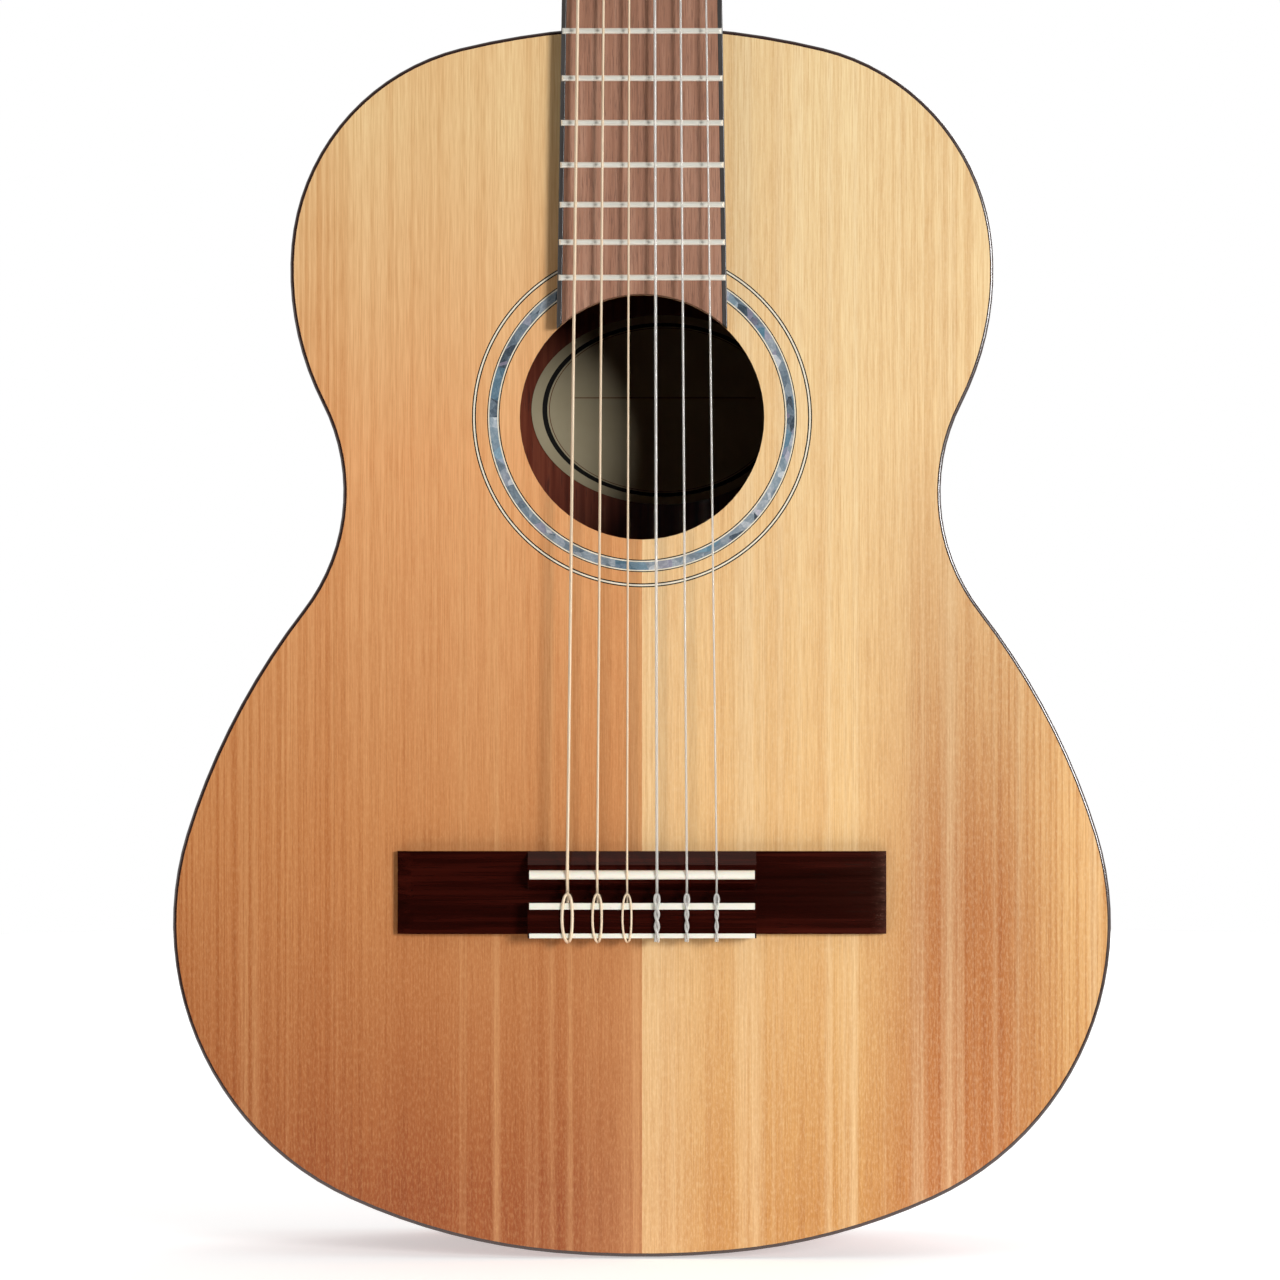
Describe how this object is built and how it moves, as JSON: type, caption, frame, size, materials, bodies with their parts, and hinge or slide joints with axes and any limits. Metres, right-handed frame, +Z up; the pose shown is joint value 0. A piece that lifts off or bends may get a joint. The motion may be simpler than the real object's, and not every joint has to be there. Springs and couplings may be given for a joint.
{
  "type": "classical guitar",
  "caption": "Three-quarter-size classical guitar with bookmatched top, shell rosette, tie bridge, slotted head and worm tuning machines that turn.",
  "frame": {"origin": "on the centreline, in the plane of the soundboard's face, level with the shoulders of the head, where a wall hanger's fork carries it", "axes": "+Z runs up along the neck to the head, the soundboard faces -Y, +X is the treble side"},
  "size_m": [0.33, 0.1022, 0.8909],
  "materials": {
    "soundboard_bass": "satin, straight upright grain",
    "soundboard_treble": "satin, straight upright grain",
    "shell": "polished shell",
    "rosette_lines": "alternate black and white fibre lines",
    "body_wood": "gloss lacquer",
    "binding": "gloss",
    "inner_wood": "bare",
    "brace_wood": "bare",
    "label_paper": "matt paper",
    "neck_wood": "satin",
    "veneer_wood": "gloss lacquer",
    "fingerboard_wood": "oiled, open pores",
    "fret_metal": "polished nickel silver",
    "bone": "satin",
    "bridge_wood": "satin",
    "nylon_string": "clear nylon",
    "wound_string": "silver-plated winding",
    "plate_metal": "nickel plate",
    "roller_nylon": "white nylon",
    "wheel_brass": "satin",
    "worm_steel": "nickel plate",
    "button_pearl": "pearly"
  },
  "bodies": {
    "guitar": {"soundboard_bass_half": "soundboard_bass", "soundboard_treble_half": "soundboard_treble", "rosette_shell_ring": "shell", "rosette_lines": "rosette_lines", "back_plate": "body_wood", "bass_side": "body_wood", "treble_side": "body_wood", "top_binding": "binding", "back_binding": "binding", "neck_and_tail_blocks": "inner_wood", "linings": "inner_wood", "soundboard_braces": "brace_wood", "back_braces": "inner_wood", "maker_label": "label_paper", "neck_shaft": "neck_wood", "heel": "neck_wood", "head": "neck_wood", "heel_cap": "binding", "head_veneer": "veneer_wood", "fingerboard": "fingerboard_wood", "fingerboard_edge_strips": "binding", "frets": "fret_metal", "nut": "bone", "saddle": "bone", "tie_block_strips": "bone", "bridge": "bridge_wood", "bass_tuner_plate": "plate_metal", "treble_tuner_plate": "plate_metal", "tuner_plate_screws": "plate_metal", "string_1": "nylon_string", "string_2": "nylon_string", "string_3": "nylon_string", "string_4": "wound_string", "string_5": "wound_string", "string_6": "wound_string"},
    "tuner_6_worm_and_button": {"tuner_6_worm": "worm_steel", "tuner_6_button": "button_pearl"},
    "tuner_6_roller_and_wheel": {"tuner_6_roller": "roller_nylon", "tuner_6_wheel": "wheel_brass"},
    "tuner_5_worm_and_button": {"tuner_5_worm": "worm_steel", "tuner_5_button": "button_pearl"},
    "tuner_5_roller_and_wheel": {"tuner_5_roller": "roller_nylon", "tuner_5_wheel": "wheel_brass"},
    "tuner_4_worm_and_button": {"tuner_4_worm": "worm_steel", "tuner_4_button": "button_pearl"},
    "tuner_4_roller_and_wheel": {"tuner_4_roller": "roller_nylon", "tuner_4_wheel": "wheel_brass"},
    "tuner_3_worm_and_button": {"tuner_3_worm": "worm_steel", "tuner_3_button": "button_pearl"},
    "tuner_3_roller_and_wheel": {"tuner_3_roller": "roller_nylon", "tuner_3_wheel": "wheel_brass"},
    "tuner_2_worm_and_button": {"tuner_2_worm": "worm_steel", "tuner_2_button": "button_pearl"},
    "tuner_2_roller_and_wheel": {"tuner_2_roller": "roller_nylon", "tuner_2_wheel": "wheel_brass"},
    "tuner_1_worm_and_button": {"tuner_1_worm": "worm_steel", "tuner_1_button": "button_pearl"},
    "tuner_1_roller_and_wheel": {"tuner_1_roller": "roller_nylon", "tuner_1_wheel": "wheel_brass"}
  },
  "joints": [
    {"name": "tuner_6_worm_spin", "type": "hinge", "parent": "guitar", "child": "tuner_6_worm_and_button", "pos_m": [-0.0376, 0.01604, 0.02631], "axis": [0, 0.9703, -0.2419], "continuous": true},
    {"name": "tuner_6_roller_spin", "type": "hinge", "parent": "guitar", "child": "tuner_6_roller_and_wheel", "pos_m": [-0.0376, 0.01792, 0.03388], "axis": [1, 0, 0], "continuous": true, "deforming": ["string_6"]},
    {"name": "tuner_5_worm_spin", "type": "hinge", "parent": "guitar", "child": "tuner_5_worm_and_button", "pos_m": [-0.0376, 0.0245, 0.06027], "axis": [0, 0.9703, -0.2419], "continuous": true},
    {"name": "tuner_5_roller_spin", "type": "hinge", "parent": "guitar", "child": "tuner_5_roller_and_wheel", "pos_m": [-0.0376, 0.02639, 0.06784], "axis": [1, 0, 0], "continuous": true, "deforming": ["string_5"]},
    {"name": "tuner_4_worm_spin", "type": "hinge", "parent": "guitar", "child": "tuner_4_worm_and_button", "pos_m": [-0.0376, 0.03297, 0.09423], "axis": [0, 0.9703, -0.2419], "continuous": true},
    {"name": "tuner_4_roller_spin", "type": "hinge", "parent": "guitar", "child": "tuner_4_roller_and_wheel", "pos_m": [-0.0376, 0.03486, 0.1018], "axis": [1, 0, 0], "continuous": true, "deforming": ["string_4"]},
    {"name": "tuner_3_worm_spin", "type": "hinge", "parent": "guitar", "child": "tuner_3_worm_and_button", "pos_m": [0.0376, 0.03297, 0.09423], "axis": [0, 0.9703, -0.2419], "continuous": true},
    {"name": "tuner_3_roller_spin", "type": "hinge", "parent": "guitar", "child": "tuner_3_roller_and_wheel", "pos_m": [0.0376, 0.03486, 0.1018], "axis": [1, 0, 0], "continuous": true, "deforming": ["string_3"]},
    {"name": "tuner_2_worm_spin", "type": "hinge", "parent": "guitar", "child": "tuner_2_worm_and_button", "pos_m": [0.0376, 0.0245, 0.06027], "axis": [0, 0.9703, -0.2419], "continuous": true},
    {"name": "tuner_2_roller_spin", "type": "hinge", "parent": "guitar", "child": "tuner_2_roller_and_wheel", "pos_m": [0.0376, 0.02639, 0.06784], "axis": [1, 0, 0], "continuous": true, "deforming": ["string_2"]},
    {"name": "tuner_1_worm_spin", "type": "hinge", "parent": "guitar", "child": "tuner_1_worm_and_button", "pos_m": [0.0376, 0.01604, 0.02631], "axis": [0, 0.9703, -0.2419], "continuous": true},
    {"name": "tuner_1_roller_spin", "type": "hinge", "parent": "guitar", "child": "tuner_1_roller_and_wheel", "pos_m": [0.0376, 0.01792, 0.03388], "axis": [1, 0, 0], "continuous": true, "deforming": ["string_1"]}
  ],
  "couplings": [
    {"joint": "tuner_6_roller_spin", "follows": "tuner_6_worm_spin", "ratio": -0.071429},
    {"joint": "tuner_5_roller_spin", "follows": "tuner_5_worm_spin", "ratio": -0.071429},
    {"joint": "tuner_4_roller_spin", "follows": "tuner_4_worm_spin", "ratio": -0.071429},
    {"joint": "tuner_3_roller_spin", "follows": "tuner_3_worm_spin", "ratio": -0.071429},
    {"joint": "tuner_2_roller_spin", "follows": "tuner_2_worm_spin", "ratio": -0.071429},
    {"joint": "tuner_1_roller_spin", "follows": "tuner_1_worm_spin", "ratio": -0.071429}
  ]
}
